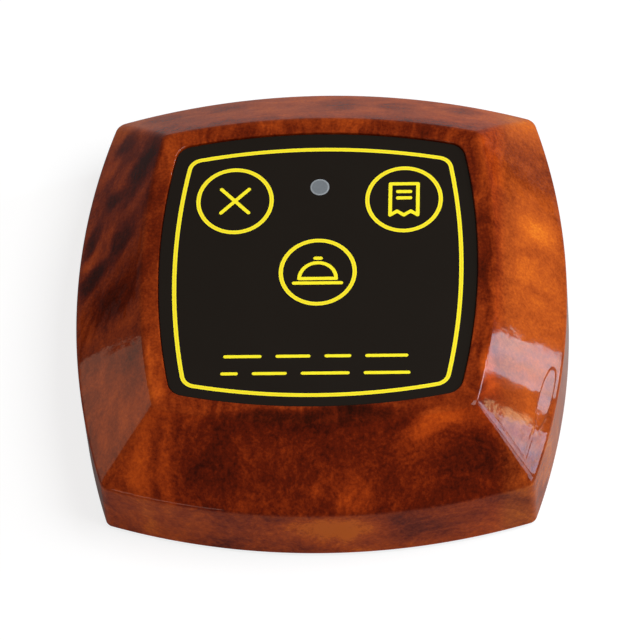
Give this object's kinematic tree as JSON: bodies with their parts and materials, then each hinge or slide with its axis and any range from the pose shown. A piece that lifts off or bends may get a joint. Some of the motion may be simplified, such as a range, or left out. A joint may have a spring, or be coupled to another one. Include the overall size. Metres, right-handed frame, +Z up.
{
  "type": "waiter call button",
  "caption": "Square table-top call button with bulged sides, sloped flanks and round press points under a recessed black film, in a burl-wood finish.",
  "frame": {"origin": "under the middle of the housing, on the surface that the feet stand on", "axes": "+Z up out of the film, +X to the right and +Y to the back as the user reads the film"},
  "size_m": [0.086, 0.086, 0.0254],
  "materials": {
    "housing": "burl-wood print under clear gloss lacquer",
    "base": "moulded, fine grain",
    "rubber": "matt",
    "screw_steel": "zinc plated",
    "adhesive": "double-sided film",
    "film": "matt black print with yellow lines",
    "window": "clear film over the light, smoke grey",
    "key": "moulded",
    "switch_plastic": "moulded",
    "switch_metal": "tinned",
    "snap_metal": "spring temper",
    "board": "green solder mask on glass laminate",
    "copper": "copper under solder mask",
    "light": "red diffused resin",
    "chip": "moulded resin",
    "can": "plated lid",
    "ceramic": "fired ceramic",
    "cell": "printed sleeve, plain",
    "contact": "nickel plated"
  },
  "bodies": {
    "housing": {"top_cover": "housing", "base_cover": "base", "rubber_feet": "rubber", "case_screws": "screw_steel", "overlay_adhesive": "adhesive", "graphic_overlay": "film", "led_window": "window", "circuit_board": "board", "antenna_track": "copper", "led_lens": "light", "led_leads": "switch_metal", "encoder_chip": "chip", "encoder_legs": "switch_metal", "saw_resonator": "can", "rf_transistor": "chip", "chip_resistors": "chip", "chip_capacitors": "ceramic", "battery": "cell", "battery_holder": "switch_plastic", "battery_contact_plus": "contact", "battery_contact_minus": "contact", "battery_spring": "contact", "call_switch_base": "switch_plastic", "call_switch_plate": "switch_metal", "call_switch_dome": "snap_metal", "call_switch_legs": "switch_metal", "cancel_switch_base": "switch_plastic", "cancel_switch_plate": "switch_metal", "cancel_switch_dome": "snap_metal", "cancel_switch_legs": "switch_metal", "check_switch_base": "switch_plastic", "check_switch_plate": "switch_metal", "check_switch_dome": "snap_metal", "check_switch_legs": "switch_metal"},
    "call_press_point": {"call_key": "key", "call_switch_stem": "switch_plastic"},
    "cancel_press_point": {"cancel_key": "key", "cancel_switch_stem": "switch_plastic"},
    "check_press_point": {"check_key": "key", "check_switch_stem": "switch_plastic"}
  },
  "joints": [
    {"name": "call_press", "type": "slide", "parent": "housing", "child": "call_press_point", "axis": [0, 0, -1], "range_m": [0, 0.0003], "stiffness_N_per_m": 5300, "deforming": ["call_switch_dome"]},
    {"name": "cancel_press", "type": "slide", "parent": "housing", "child": "cancel_press_point", "axis": [0, 0, -1], "range_m": [0, 0.0003], "stiffness_N_per_m": 5300, "deforming": ["cancel_switch_dome"]},
    {"name": "check_press", "type": "slide", "parent": "housing", "child": "check_press_point", "axis": [0, 0, -1], "range_m": [0, 0.0003], "stiffness_N_per_m": 5300, "deforming": ["check_switch_dome"]}
  ]
}
